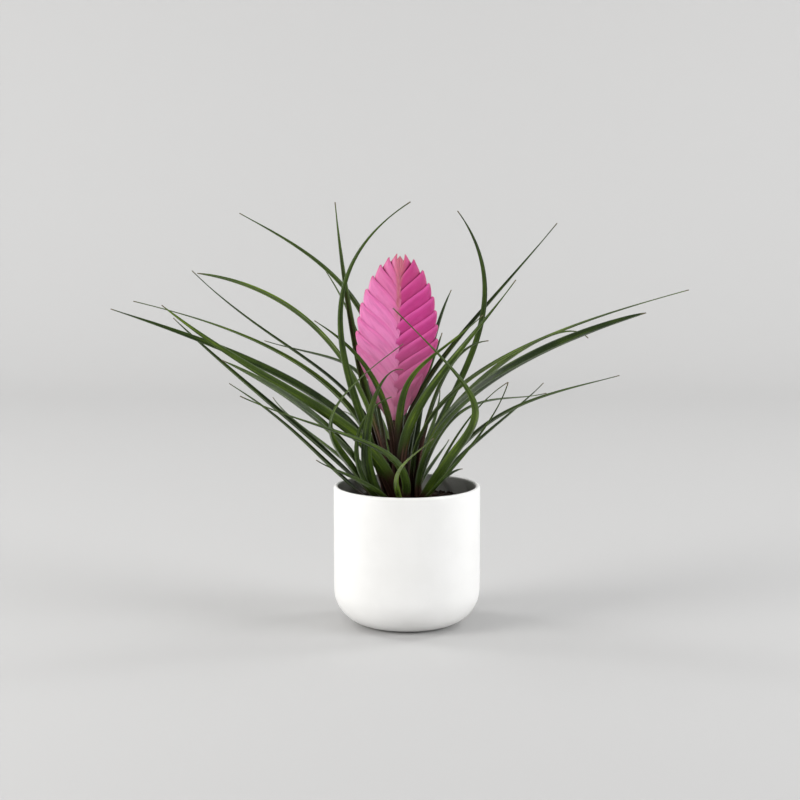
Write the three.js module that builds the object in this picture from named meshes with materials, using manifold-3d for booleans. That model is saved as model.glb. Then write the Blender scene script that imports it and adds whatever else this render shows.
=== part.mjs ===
// A pink quill plant, Wallisia cyanea, growing in a plain white pot.
// Millimetres, +Z up. The origin is the middle of the pot's flat foot, and -Y is the front.

import * as THREE from 'three';
import { mergeVertices } from 'three/addons/utils/BufferGeometryUtils.js';
import Module from 'manifold-3d';

const wasm = await Module();
wasm.setup();

// Pot
const POT_RADIUS = 54;
const POT_HEIGHT = 103.4;
const POT_WALL = 3.5;
const POT_FLOOR = 5;
const POT_CORNER = 26.5;
const POT_SIDES = 48;

// Soil
const SOIL_TOP = 91;
const SOIL_GAP = 0.3;
const SOIL_RINGS = 7;
const SOIL_SIDES = 36;
const BARK_HEIGHT = 2.6;
const CROWN_PIT_RADIUS = 32;
const CROWN_PIT_DEPTH = 3;
const CROWN_PIT_SLOPE = 1;

// Plant axis, from the crown in the soil to the top of the flower spike
const CROWN = new THREE.Vector3(-4, 0, SOIL_TOP - CROWN_PIT_DEPTH + SOIL_GAP);
const STEM_TOP = new THREE.Vector3(-10, 0, 151);
const SPIKE_TOP = new THREE.Vector3(-5, 0, 274);
const STEM_RADIUS = 5;
const STEM_TOP_RADIUS = 2.8;
const STEM_ROOT_DEPTH = 12;
const STEM_SIDES = 12;

// Flower spike: a flat paddle of keeled bracts in two opposite ranks
const SPIKE_HALF_WIDTH = 30.3;
const SPIKE_WIDEST = 211;
const SPIKE_HALF_DEPTH = 6;
const BRACT_LENGTH = 52;
const BRACT_PITCH_TOP = 5;
const BRACT_PITCH = 10.4;
const BRACT_RANKS = [
  {
    side: 1, firstPitch: 5, pitchReach: 12, lowPitch: 16, drop: 12, dropSpread: 0.3,
    rise: [0.28, 0.42], shoulder: [0.82, 0.76], overlap: 0.8,
  },
  {
    side: -1, firstPitch: 3.8, pitchReach: 20, lowPitch: 22, drop: 16.5, dropSpread: 0.53,
    rise: [0.22, 0.64], shoulder: [0.86, 0.81], overlap: 2.4,
  },
];
const BUD_REACH = 0.2;
const BUD_DIP = 2;
const BRACT_ELBOW = 0.42;
const BRACT_BASE = 1.5;
const OVERLAP_REACH = 14;
const BRACT_STEP = 1.5;
const BRACT_EDGE = 0.5;
const BRACT_TIP = 1.8;
const BRACT_COLUMNS = 6;
const BRACT_ROWS = 2;
const LEAST_BRACT_GAP = 4;
const SPIKE_BASE_CURVE = 1.18;
const SPIKE_BASE_DEPTH_SHARE = 0.35;
const LOWEST_BRACT_HALF_WIDTH = 9;

// Leaf blades: folded along the midrib, thin at the margins
const LEAF_STEPS = 12;
const MARGIN_THICKNESS = 0.6;
const RIB_THICKNESS = 1.1;
const TIP_WIDTH = 0.9;
const TAPER_ONSET = 1.8;
const TAPER_ROUND = 0.85;
const BLADE_FOLD_ANGLE = 38;
const SHEATH_SHARE = 0.3;
const SHEATH_WIDTH = 0.72;
const INNER_SEAT = 6.6;
const SEAT_PITCH = 1.9;

// Each leaf: its name, its width, how early its blade narrows, the turn of the blade about its
// own length in degrees, the azimuth of its seat in the crown, and the Bezier points of its
// midrib after the seat: where it rises to, where it bends and its tip.
const LEAVES = [
  ['left_long', 13, 1.05, -45, 184, [-11, -6, 161], [-130, -14, 206], [-214, -15, 235]],
  ['left_arch', 14, 1.6, -20, 160, [-21, 30, 178], [-121, 45, 215], [-204, 35, 236]],
  ['left_broad', 15, 0.85, -45, 265, [-27, -49, 164], [-89, -53, 169], [-172, -60, 242]],
  ['left_under', 13.5, 0.85, -45, 216, [-42, -33, 140], [-72, -61, 173], [-128, -84, 206]],
  ['left_behind', 8, 0.85, -20, 170, [-66, 16, 133], [-131, 36, 179], [-176, 50, 222]],
  ['left_low', 7, 1, -10, 172, [-60, 10, 110], [-77, 30, 139], [-134, 44, 173]],
  ['left_sweep', 8.5, 1.5, 40, 272, [14, -61, 146], [-50, -129, 158], [-112, -135, 188]],
  ['front_left_short', 7, 1.2, 20, 253, [-19, -46, 111], [-55, -70, 127], [-63, -90, 137]],
  ['back_left_thin', 6, 1, 0, 131, [-50, 52, 121], [-86, 100, 127], [-107, 140, 149]],
  ['left_straight', 5.5, 1, -15, 146, [-17, 28, 184], [-86, 62, 180], [-165, 85, 255]],
  ['left_fan', 10, 0.6, -30, 199, [-26, -7, 204], [-84, 8, 247], [-152, -6, 260]],
  ['inner_left', 10.5, 0.95, 20, 206, [-8, -17, 164], [-24, -38, 201], [-65, -60, 231]],
  ['back_left_grey', 7, 1, -20, 130, [-22, 48, 202], [-38, 90, 178], [-112, 120, 197]],
  ['back_left_high', 7.5, 0.95, -20, 125, [-9, 26, 233], [-46, 62, 256], [-128, 85, 299]],
  ['back_left_tip', 6, 1, 0, 144, [-22, 29, 184], [-42, 58, 230], [-67, 76, 263]],
  ['upright_left', 9, 1.05, -45, 134, [-31, 8, 162], [-45, 17, 230], [-53, 28, 310]],
  ['curl_high', 12, 1.3, 5, 229, [-43, -34, 182], [-80, -96, 263], [2, -82, 315]],
  ['curl_left', 18, 1.8, -75, 202, [-53, -39, 144], [-85, -94, 159], [-3, -108, 220]],
  ['curl_front', 13, 1.3, 0, 252, [-45, -31, 101], [-26, -98, 209], [-3, -106, 202]],
  ['curl_low', 8, 1.3, 0, 241, [-47, -55, 117], [-42, -66, 167], [-11, -74, 179]],
  ['front_right_tip', 5, 1.1, 0, 278, [-17, -68, 125], [0, -125, 142], [17, -152, 162]],
  ['inner_right', 12, 1.1, 40, 286, [-9, -28, 202], [0, -44, 183], [53, -60, 235]],
  ['tall_right', 12, 1.05, -75, 20, [-12, 9, 130], [103, -6, 217], [36, -22, 306]],
  ['right_small_curl', 8, 0.9, 10, 11, [15, 6, 167], [32, -11, 209], [58, -34, 214]],
  ['right_high', 9, 1.2, 30, 28, [-19, 12, 160], [30, 30, 195], [113, 55, 293]],
  ['right_broad', 16, 1.4, -40, 317, [-18, -25, 152], [29, -42, 192], [77, -40, 258]],
  ['back_spike_tip', 7, 0.75, 0, 62, [9, 36, 155], [18, 78, 204], [35, 110, 238]],
  ['back_dark', 7, 0.8, 0, 80, [-1, 21, 147], [17, 44, 181], [27, 66, 209]],
  ['hook', 18, 1.75, -35, 312, [51, -72, 173], [76, -98, 158], [-10, -104, 244]],
  ['right_long', 10, 1.35, 20, 339, [-17, -29, 177], [95, -43, 223], [201, -30, 250]],
  ['right_droop', 14, 1.2, 40, 344, [-8, -9, 142], [108, -23, 243], [129, -36, 216]],
  ['right_wide', 14, 0.65, 45, 328, [2, -34, 170], [100, -54, 214], [169, -45, 235]],
  ['right_low', 7, 1.1, 15, 18, [49, 14, 158], [92, 36, 162], [162, 60, 177]],
  ['right_dark', 5.5, 1, 10, 36, [38, 32, 123], [80, 76, 142], [108, 115, 164]],
  ['right_flat', 5.5, 1.1, 10, 55, [30, 46, 177], [69, 90, 149], [111, 122, 155]],
  ['front_right_a', 4.5, 1.2, 0, 326, [30, -34, 142], [50, -56, 174], [70, -72, 189]],
  ['front_right_b', 4.5, 1.2, 0, 296, [43, -62, 136], [62, -98, 169], [68, -118, 195]],
  ['back_right_thin', 6, 1, 0, 82, [13, 58, 121], [26, 108, 139], [27, 145, 154]],
  ['low_right_tip', 6, 0.8, 0, 45, [23, 22, 102], [38, 30, 110], [42, 36, 109]],
  ['low_right_short', 5, 1.1, 0, 69, [18, 42, 111], [29, 72, 118], [33, 94, 122]],
  ['back_a', 9, 1, 0, 92, [-2, 55, 136], [-2, 118, 154], [-7, 172, 155]],
  ['back_c', 8, 1, 0, 104, [-12, 48, 129], [-22, 108, 148], [-34, 155, 143]],
  ['back_d', 7, 1, 0, 118, [-22, 42, 126], [-38, 92, 142], [-50, 125, 140]],
  ['back_high_a', 8, 1, 0, 92, [-3, 30, 155], [0, 72, 211], [1, 100, 239]],
  ['back_high_b', 7, 1, 0, 106, [-6, 20, 164], [-8, 54, 217], [-10, 80, 251]],
];

const MATERIALS = {
  pot: { color: '#f2f1ee', roughness: 0.6, metalness: 0 },
  soil: { color: '#2b221c', roughness: 0.95, metalness: 0 },
  stem: { color: '#4a362c', roughness: 0.6, metalness: 0 },
  bract: { color: '#d9609f', roughness: 0.5, metalness: 0 },
  leaf: { color: '#3e5a2c', roughness: 0.5, metalness: 0 },
};

/** A body made from rings of points: a skin from ring to ring, and a fan over each end. */
function skinRings(rings) {
  const sides = rings[0].length;
  const positions = rings.flat().flatMap((p) => [p.x, p.y, p.z]);
  const index = [];
  for (let i = 0; i < rings.length - 1; i += 1) {
    for (let j = 0; j < sides; j += 1) {
      const a = i * sides + j;
      const b = i * sides + ((j + 1) % sides);
      index.push(a, b, a + sides, b, b + sides, a + sides);
    }
  }
  const last = (rings.length - 1) * sides;
  for (let j = 1; j < sides - 1; j += 1) {
    index.push(0, j + 1, j, last, last + j, last + j + 1);
  }
  return closedGeometry(positions, index);
}

/** An indexed geometry whose faces are turned outwards. */
function closedGeometry(positions, index) {
  const corner = (i) => new THREE.Vector3().fromArray(positions, index[i] * 3);
  let volume = 0;
  for (let i = 0; i < index.length; i += 3) {
    volume += corner(i).dot(corner(i + 1).cross(corner(i + 2)));
  }
  const geometry = new THREE.BufferGeometry();
  geometry.setAttribute('position', new THREE.Float32BufferAttribute(positions, 3));
  geometry.setIndex(volume < 0 ? index.slice().reverse() : index);
  return geometry;
}

function toManifold(geometry) {
  const bare = geometry.clone();
  bare.deleteAttribute('normal');
  bare.deleteAttribute('uv');
  const merged = mergeVertices(bare, 1e-4);
  return new wasm.Manifold(new wasm.Mesh({
    numProp: 3,
    vertProperties: Float32Array.from(merged.attributes.position.array),
    triVerts: Uint32Array.from(merged.index.array),
  }));
}

function fromManifold(solid) {
  const mesh = solid.getMesh();
  const geometry = new THREE.BufferGeometry();
  geometry.setAttribute('position', new THREE.BufferAttribute(mesh.vertProperties, 3));
  geometry.setIndex(new THREE.BufferAttribute(mesh.triVerts, 1));
  return geometry;
}

/** LatheGeometry turns about Y, and here the profile (radius, height) turns about Z. */
function lathe(profile, sides) {
  return new THREE.LatheGeometry(profile, sides).rotateX(Math.PI / 2);
}

/** Points of a rounded corner, from one angle to another in degrees. */
function corner(radius, centreR, centreZ, from, to, steps) {
  return Array.from({ length: steps + 1 }, (_, i) => {
    const angle = THREE.MathUtils.degToRad(from + ((to - from) * i) / steps);
    return new THREE.Vector2(centreR + radius * Math.cos(angle), centreZ + radius * Math.sin(angle));
  });
}

/** The pot's cavity, or the soil that fills it when it is drawn in by a gap. */
function cavityProfile(inset, top) {
  const radius = POT_RADIUS - POT_WALL - inset;
  const round = POT_CORNER - POT_WALL;
  const floor = POT_FLOOR + inset;
  return [
    new THREE.Vector2(0, floor),
    ...corner(round, radius - round, floor + round, -90, 0, 6),
    new THREE.Vector2(radius, top),
  ];
}

function potGeometry() {
  const lip = POT_WALL / 2;
  const profile = [
    new THREE.Vector2(0, 0),
    ...corner(POT_CORNER, POT_RADIUS - POT_CORNER, POT_CORNER, -90, 0, 7),
    ...corner(lip, POT_RADIUS - lip, POT_HEIGHT - lip, 0, 180, 4),
    ...cavityProfile(0, POT_HEIGHT - 3 * lip).reverse().slice(1),
  ];
  return lathe(profile, POT_SIDES);
}

/** Height of the bark crumbs above the soil, nil at the pot's wall and round the crown. */
function barkRelief(radius, angle) {
  const edge = POT_RADIUS - POT_WALL - SOIL_GAP;
  const share = (radius - CROWN_PIT_RADIUS) / (edge - CROWN_PIT_RADIUS);
  const lumps = Math.sin(7 * angle + 0.9 * radius) * Math.cos(5 * angle - 0.6 * radius);
  return BARK_HEIGHT * (0.35 + 0.65 * lumps) * Math.sin(Math.PI * THREE.MathUtils.clamp(share, 0, 1));
}

function soilGeometry() {
  const outer = cavityProfile(SOIL_GAP, SOIL_TOP);
  const edge = outer[outer.length - 1].x;
  const surface = [];
  for (let i = 1; i <= SOIL_RINGS; i += 1) {
    const radius = edge + ((CROWN_PIT_RADIUS - edge) * i) / SOIL_RINGS;
    surface.push(new THREE.Vector2(radius, SOIL_TOP));
  }
  const pitFloor = SOIL_TOP - CROWN_PIT_DEPTH;
  const profile = [
    ...outer,
    ...surface,
    new THREE.Vector2(CROWN_PIT_RADIUS - CROWN_PIT_SLOPE, pitFloor),
    new THREE.Vector2(0, pitFloor),
  ];
  const geometry = lathe(profile, SOIL_SIDES);
  const position = geometry.attributes.position;
  for (let i = 0; i < position.count; i += 1) {
    const radius = Math.hypot(position.getX(i), position.getY(i));
    const onSurface = Math.abs(position.getZ(i) - SOIL_TOP) < 1e-3;
    if (onSurface) {
      const angle = Math.atan2(position.getY(i), position.getX(i));
      position.setZ(i, SOIL_TOP + barkRelief(radius, angle));
    }
  }
  const holeRadius = STEM_RADIUS + SOIL_GAP;
  const hole = new THREE.CylinderGeometry(holeRadius, holeRadius, 2 * STEM_ROOT_DEPTH, 2 * STEM_SIDES)
    .rotateX(Math.PI / 2)
    .translate(CROWN.x, CROWN.y, CROWN.z - SOIL_GAP);
  return fromManifold(toManifold(geometry).subtract(toManifold(hole)));
}

/** The short stem: it stands in the soil, rises through the crown and carries the flower spike. */
function stemGeometry() {
  const foot = CROWN.clone().setZ(CROWN.z - STEM_ROOT_DEPTH + SOIL_GAP);
  const end = STEM_TOP.clone().setZ(STEM_TOP.z - SOIL_GAP);
  const stations = [
    { centre: foot, radius: STEM_RADIUS },
    { centre: CROWN, radius: STEM_RADIUS },
    { centre: CROWN.clone().lerp(end, 0.5), radius: (STEM_RADIUS + STEM_TOP_RADIUS) / 2 },
    { centre: end, radius: STEM_TOP_RADIUS },
  ];
  const rings = stations.map(({ centre, radius }) => (
    Array.from({ length: STEM_SIDES }, (_, j) => {
      const angle = (2 * Math.PI * j) / STEM_SIDES;
      const offset = new THREE.Vector3(Math.cos(angle), Math.sin(angle), 0);
      return offset.multiplyScalar(radius).add(centre);
    })
  ));
  return skinRings(rings);
}

/** Half the spike's width at a height: an ellipse above the widest place, a wedge below it. */
function spikeHalfWidth(z) {
  if (z >= SPIKE_WIDEST) {
    const share = (z - SPIKE_WIDEST) / (SPIKE_TOP.z - SPIKE_WIDEST);
    return SPIKE_HALF_WIDTH * Math.sqrt(Math.max(0, 1 - share * share));
  }
  const share = (SPIKE_WIDEST - z) / (SPIKE_WIDEST - STEM_TOP.z);
  return SPIKE_HALF_WIDTH * (1 - share ** SPIKE_BASE_CURVE);
}

function spikeAxis(z) {
  const share = (z - STEM_TOP.z) / (SPIKE_TOP.z - STEM_TOP.z);
  return THREE.MathUtils.lerp(STEM_TOP.x, SPIKE_TOP.x, share);
}

/** Tips of one rank's bracts, from the bud at the top down, closest at the top. */
function rankTips(rank) {
  const tips = [{ reach: BUD_REACH, z: SPIKE_TOP.z - BUD_DIP }];
  const stride = 0.1;
  let travelled = 0;
  let next = rank.firstPitch;
  let z = SPIKE_TOP.z;
  while (z > SPIKE_WIDEST || spikeHalfWidth(z) > LOWEST_BRACT_HALF_WIDTH) {
    travelled += Math.hypot(stride, spikeHalfWidth(z - stride) - spikeHalfWidth(z));
    if (travelled >= next) {
      tips.push({ reach: spikeHalfWidth(z), z });
      const grown = Math.min(1, travelled / rank.pitchReach);
      const pitch = THREE.MathUtils.lerp(BRACT_PITCH_TOP, BRACT_PITCH, grown);
      next += z > SPIKE_WIDEST ? pitch : rank.lowPitch;
    }
    z -= stride;
  }
  return tips;
}

/** Distance of the spike's surface from its middle plane, before the bracts' own steps. */
function spikeDepth(x, z) {
  const width = Math.max(spikeHalfWidth(z), 1);
  const round = Math.sqrt(Math.max(0, 1 - (x / width) ** 2));
  const share = THREE.MathUtils.lerp(SPIKE_BASE_DEPTH_SHARE, 1, width / SPIKE_HALF_WIDTH);
  return SPIKE_HALF_DEPTH * share * round;
}

/** One keeled bract: its free margin runs from the midline out to the tip, its keel from the base. */
function bractGeometry(rank, { reach, z: tipZ }, next) {
  const baseZ = Math.max(tipZ - BRACT_LENGTH, STEM_TOP.z);
  const midZ = Math.max(tipZ - rank.drop - rank.dropSpread * reach, STEM_TOP.z + 4);
  const elbowZ = Math.max(tipZ - BRACT_ELBOW * BRACT_LENGTH, baseZ + 3);
  const tipGap = Math.max(LEAST_BRACT_GAP, tipZ - next.z);
  const midGap = Math.max(LEAST_BRACT_GAP, tipGap + rank.dropSpread * (next.reach - reach));
  const overlap = rank.overlap * THREE.MathUtils.clamp(reach / OVERLAP_REACH, 0.4, 1);
  const flat = (x, z) => new THREE.Vector2(rank.side * x, z);
  const margin = new THREE.CubicBezierCurve(
    flat(-overlap, midZ),
    flat(rank.rise[0] * reach, THREE.MathUtils.lerp(midZ, tipZ, rank.rise[1])),
    flat(rank.shoulder[0] * reach, THREE.MathUtils.lerp(midZ, tipZ, rank.shoulder[1])),
    flat(reach, tipZ),
  );
  const keel = new THREE.QuadraticBezierCurve(
    flat(BRACT_BASE, baseZ),
    flat(Math.max(spikeHalfWidth(elbowZ), 0.9 * reach), elbowZ),
    flat(reach, tipZ - BRACT_TIP),
  );
  const front = [];
  for (let i = 0; i <= BRACT_COLUMNS; i += 1) {
    const high = margin.getPoint(i / BRACT_COLUMNS);
    const low = keel.getPoint(i / BRACT_COLUMNS);
    for (let j = 0; j <= BRACT_ROWS; j += 1) {
      const at = high.clone().lerp(low, j / BRACT_ROWS);
      const gap = THREE.MathUtils.lerp(midGap, tipGap, i / BRACT_COLUMNS);
      const lift = BRACT_STEP * (1 - (high.y - at.y) / gap);
      const depth = Math.max(BRACT_EDGE, spikeDepth(at.x, at.y) + lift);
      front.push(new THREE.Vector3(spikeAxis(at.y) + at.x, -depth, at.y));
    }
  }
  return slabGeometry(front, BRACT_COLUMNS + 1, BRACT_ROWS + 1);
}

/** A body between a grid of points and its mirror image behind the plane y = 0. */
function slabGeometry(front, columns, rows) {
  const back = front.map((p) => new THREE.Vector3(p.x, -p.y, p.z));
  const positions = [...front, ...back].flatMap((p) => [p.x, p.y, p.z]);
  const index = [];
  const count = front.length;
  for (let i = 0; i < columns - 1; i += 1) {
    for (let j = 0; j < rows - 1; j += 1) {
      const a = i * rows + j;
      const b = a + rows;
      index.push(a, b, a + 1, b, b + 1, a + 1);
      index.push(a + count, a + 1 + count, b + count, b + count, a + 1 + count, b + 1 + count);
    }
  }
  const rim = [];
  for (let i = 0; i < columns; i += 1) rim.push(i * rows);
  for (let j = 1; j < rows; j += 1) rim.push((columns - 1) * rows + j);
  for (let i = columns - 2; i >= 0; i -= 1) rim.push(i * rows + rows - 1);
  for (let j = rows - 2; j > 0; j -= 1) rim.push(j);
  rim.forEach((a, i) => {
    const b = rim[(i + 1) % rim.length];
    index.push(a, a + count, b, b, a + count, b + count);
  });
  return closedGeometry(positions, index);
}

function spikeGeometry() {
  const bracts = BRACT_RANKS.flatMap((rank) => {
    const tips = rankTips(rank);
    const lowest = tips[tips.length - 1];
    const below = [...tips.slice(1), { reach: lowest.reach, z: lowest.z - rank.lowPitch }];
    return tips.map((tip, i) => toManifold(bractGeometry(rank, tip, below[i])));
  });
  return fromManifold(bracts.reduce((whole, bract) => whole.add(bract)));
}

/** Seats for the leaf bases: the flatter a leaf rises, the further out it stands. */
function seatLeaves(leaves) {
  const seats = leaves.map(({ name, width, azimuth, rise, bend }) => {
    const heading = rise.clone().add(bend).divideScalar(2).sub(CROWN);
    const slope = heading.z / Math.hypot(heading.x, heading.y);
    return { name, azimuth, width: width * SHEATH_WIDTH, slope };
  });
  seats.sort((a, b) => b.slope - a.slope);
  seats.forEach((seat, i) => {
    seat.radius = INNER_SEAT;
    for (const inner of seats.slice(0, i)) {
      const turn = seat.azimuth - inner.azimuth;
      const between = Math.abs(Math.atan2(Math.sin(turn), Math.cos(turn)));
      const reach = (inner.width + seat.width) / 2 / inner.radius;
      if (between < reach) seat.radius = Math.max(seat.radius, inner.radius + SEAT_PITCH);
    }
  });
  return new Map(seats.map((seat) => [seat.name, seat]));
}

/** A leaf blade on a Bezier midrib, its section a shallow V that opens towards the stem. */
function leafGeometry({ width, taper, turn, rise: first, bend, tip }, { azimuth, radius }) {
  const outward = new THREE.Vector3(Math.cos(azimuth), Math.sin(azimuth), 0);
  const root = CROWN.clone().addScaledVector(outward, radius);
  const midrib = new THREE.CubicBezierCurve3(root, first, bend, tip);
  const rings = [];
  const inward = outward.clone().negate();
  let before = new THREE.Vector3(0, 0, 1);
  for (let i = 0; i <= LEAF_STEPS; i += 1) {
    const share = i / LEAF_STEPS;
    const centre = midrib.getPointAt(share);
    const along = i === 0 ? before.clone() : midrib.getTangentAt(share);
    inward.applyQuaternion(new THREE.Quaternion().setFromUnitVectors(before, along));
    before = along;
    const turned = THREE.MathUtils.degToRad(turn) * Math.sin((Math.PI / 2) * share);
    const face = inward.clone().applyAxisAngle(along, turned);
    const across = new THREE.Vector3().crossVectors(along, face);
    const grown = Math.min(1, share / SHEATH_SHARE);
    const narrowed = (1 - share ** (TAPER_ONSET / taper)) ** (TAPER_ROUND * taper);
    const half = Math.max(TIP_WIDTH, width * narrowed * THREE.MathUtils.lerp(SHEATH_WIDTH, 1, grown)) / 2;
    const hug = half / (2 * radius);
    const fold = THREE.MathUtils.lerp(hug, THREE.MathUtils.degToRad(BLADE_FOLD_ANGLE), grown);
    const rib = THREE.MathUtils.lerp(RIB_THICKNESS, TIP_WIDTH, share) / 2;
    const edge = MARGIN_THICKNESS / 2;
    const reach = half * Math.cos(fold);
    const rise = half * Math.sin(fold);
    const section = [
      [-reach, rise + edge], [0, rib], [reach, rise + edge],
      [reach, rise - edge], [0, -rib], [-reach, rise - edge],
    ];
    rings.push(section.map(([x, n]) => (
      centre.clone().addScaledVector(across, x).addScaledVector(face, n)
    )));
  }
  return skinRings(rings);
}

function piece(name, geometry, material) {
  const mesh = new THREE.Mesh(geometry, new THREE.MeshStandardMaterial(MATERIALS[material]));
  mesh.name = name;
  return mesh;
}

const plant = new THREE.Group();
plant.add(
  piece('pot', potGeometry(), 'pot'),
  piece('soil', soilGeometry(), 'soil'),
  piece('stem', stemGeometry(), 'stem'),
  piece('spike', spikeGeometry(), 'bract'),
);

const leaves = LEAVES.map(([name, width, taper, turn, azimuth, rise, bend, tip]) => ({
  name,
  width,
  taper,
  turn,
  azimuth: THREE.MathUtils.degToRad(azimuth),
  rise: new THREE.Vector3(...rise),
  bend: new THREE.Vector3(...bend),
  tip: new THREE.Vector3(...tip),
}));
const seats = seatLeaves(leaves);
for (const leaf of leaves) {
  plant.add(piece(`leaf_${leaf.name}`, leafGeometry(leaf, seats.get(leaf.name)), 'leaf'));
}

export default plant;
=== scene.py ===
"""A pink quill plant in its pot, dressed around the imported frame.

Tables give lengths in millimetres, as the plant is measured, and every method that makes a mesh
turns them into metres with MM. The front is -Y, and the pot stands on Z = 0.
"""
import logging
import math
import random
from bisect import bisect_right
from dataclasses import dataclass
from typing import Any, Callable, ClassVar, Mapping, Optional, Sequence

import bpy
from mathutils import Euler, Matrix, Quaternion, Vector, noise


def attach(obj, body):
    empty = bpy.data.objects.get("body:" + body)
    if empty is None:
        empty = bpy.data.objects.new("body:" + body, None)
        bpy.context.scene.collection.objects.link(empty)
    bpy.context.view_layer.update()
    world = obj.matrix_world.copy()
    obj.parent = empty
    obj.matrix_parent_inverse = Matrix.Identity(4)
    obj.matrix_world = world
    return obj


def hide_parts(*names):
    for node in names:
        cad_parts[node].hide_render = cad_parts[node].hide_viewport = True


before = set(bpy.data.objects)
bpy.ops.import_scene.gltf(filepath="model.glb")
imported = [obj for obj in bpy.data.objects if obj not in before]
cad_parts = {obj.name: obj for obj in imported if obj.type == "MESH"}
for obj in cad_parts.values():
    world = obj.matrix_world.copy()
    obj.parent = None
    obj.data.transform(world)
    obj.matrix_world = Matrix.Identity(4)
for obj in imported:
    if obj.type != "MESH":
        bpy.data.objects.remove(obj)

LOG = logging.getLogger("quill_plant")
MM = 0.001
ROOT_BODY = "root"
Colour = tuple[float, float, float]
Surface = Callable[[float, float], Vector]
Values = Mapping[str, Any]
Piece = bpy.types.Object
Material = bpy.types.Material
Socket = bpy.types.NodeSocket


# ---- small maths

def lerp(low: float, high: float, share: float) -> float:
    """Value at a share of the way from low to high."""
    return low + (high - low) * share


def clamp(value: float, low: float = 0.0, high: float = 1.0) -> float:
    """Value held between two limits."""
    return max(low, min(high, value))


def smooth(low: float, high: float, value: float) -> float:
    """A soft step from 0 at low to 1 at high."""
    share = clamp((value - low) / (high - low))
    return share * share * (3 - 2 * share)


def bezier(stops: Sequence[Vector], share: float) -> Vector:
    """Point of a Bezier curve through its first and last stop.

    Args:
        stops: the curve's control points.
        share: how far along the curve the point is, from 0 to 1.

    Returns:
        The point.
    """
    points = list(stops)
    while len(points) > 1:
        points = [first.lerp(second, share) for first, second in zip(points, points[1:])]
    return points[0]


def heading(degrees: float) -> Vector:
    """Level unit vector at an azimuth, 0 along +X and 90 along +Y."""
    angle = math.radians(degrees)
    return Vector((math.cos(angle), math.sin(angle), 0))


# ---- shader graph

class Graph:
    """Lays and wires the nodes of one shader tree. A value may always be a socket instead."""

    def __init__(self, tree: bpy.types.NodeTree) -> None:
        """Takes the tree that the nodes go into."""
        self.tree = tree

    def feed(self, node: bpy.types.Node, inputs: Mapping[Any, Any]) -> None:
        """Gives a node its inputs.

        Args:
            node: the node.
            inputs: for a socket's name or number, a value or the socket that feeds it.
        """
        for key, value in inputs.items():
            if isinstance(value, Socket):
                self.tree.links.new(value, node.inputs[key])
            else:
                node.inputs[key].default_value = value

    def add(self, kind: str, inputs: Optional[Mapping[Any, Any]] = None, **settings: Any) -> bpy.types.Node:
        """Adds one node.

        Args:
            kind: the node's type name.
            inputs: what feed takes.
            settings: properties of the node itself.

        Returns:
            The new node.
        """
        node = self.tree.nodes.new(kind)
        for key, value in settings.items():
            setattr(node, key, value)
        self.feed(node, inputs or {})
        return node

    def maths(self, operation: str, *values: Any) -> Socket:
        """Result of a Math node on up to three values."""
        return self.add("ShaderNodeMath", dict(enumerate(values)), operation=operation).outputs[0]

    def scaled(self, value: Any, factor: float, base: Any) -> Socket:
        """A value times a factor, plus a base."""
        return self.maths("MULTIPLY_ADD", value, factor, base)

    def group(self, tree: bpy.types.NodeTree, **inputs: Any) -> Any:
        """Places a shared node group and gives its outputs."""
        return self.add("ShaderNodeGroup", inputs, node_tree=tree).outputs

    def step(self, value: Any, low: float, high: float) -> Socket:
        """A soft step from 0 at low to 1 at high."""
        inputs = {"Value": value, "From Min": low, "From Max": high}
        return self.add("ShaderNodeMapRange", inputs, interpolation_type="SMOOTHSTEP").outputs[0]

    def blend(self, share: Any, first: Any, second: Any, most: float = 1.0) -> Socket:
        """Mixes two colours.

        Args:
            share: how much of the second is taken.
            first: a colour.
            second: a colour.
            most: what the share is multiplied by.

        Returns:
            The mixed colour's socket.
        """
        taken = share if most == 1.0 else self.maths("MULTIPLY", share, most)
        inputs = {0: taken, 6: opaque(first), 7: opaque(second)}
        return self.add("ShaderNodeMix", inputs, data_type="RGBA").outputs[2]

    def noise(self, vector: Any, scale: Any, detail: float = 2.0, rough: float = 0.5) -> Socket:
        """Cloudy noise at a scale, with some octaves of detail and their roughness."""
        inputs = {"Vector": vector, "Scale": scale, "Detail": detail, "Roughness": rough}
        return self.add("ShaderNodeTexNoise", inputs).outputs[0]

    def join(self, *values: Any) -> Socket:
        """Three values joined into a vector."""
        return self.add("ShaderNodeCombineXYZ", dict(enumerate(values))).outputs[0]

    def attributes(self, *names: str) -> list[Socket]:
        """Values of a mesh's attributes."""
        return [self.add("ShaderNodeAttribute", attribute_name=name).outputs["Fac"] for name in names]

    def bump(self, height: Any, strength: float, distance: float) -> Socket:
        """A normal bent by a height, of which 1 stands for a distance in metres."""
        inputs = {"Height": height, "Strength": strength, "Distance": distance}
        return self.add("ShaderNodeBump", inputs).outputs[0]

    def place(self) -> Socket:
        """The place in the piece's own space, in metres."""
        return self.add("ShaderNodeTexCoord").outputs["Object"]

    def blade_place(self) -> tuple[Socket, Socket]:
        """The place across a blade and along it, from its UV map."""
        uv_map = self.add("ShaderNodeUVMap", uv_map="UVMap")
        return tuple(self.add("ShaderNodeSeparateXYZ", {0: uv_map.outputs[0]}).outputs[:2])


def opaque(colour: Any) -> Any:
    """A colour with full alpha, or the socket as it is."""
    return (*colour, 1.0) if isinstance(colour, tuple) else colour


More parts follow.
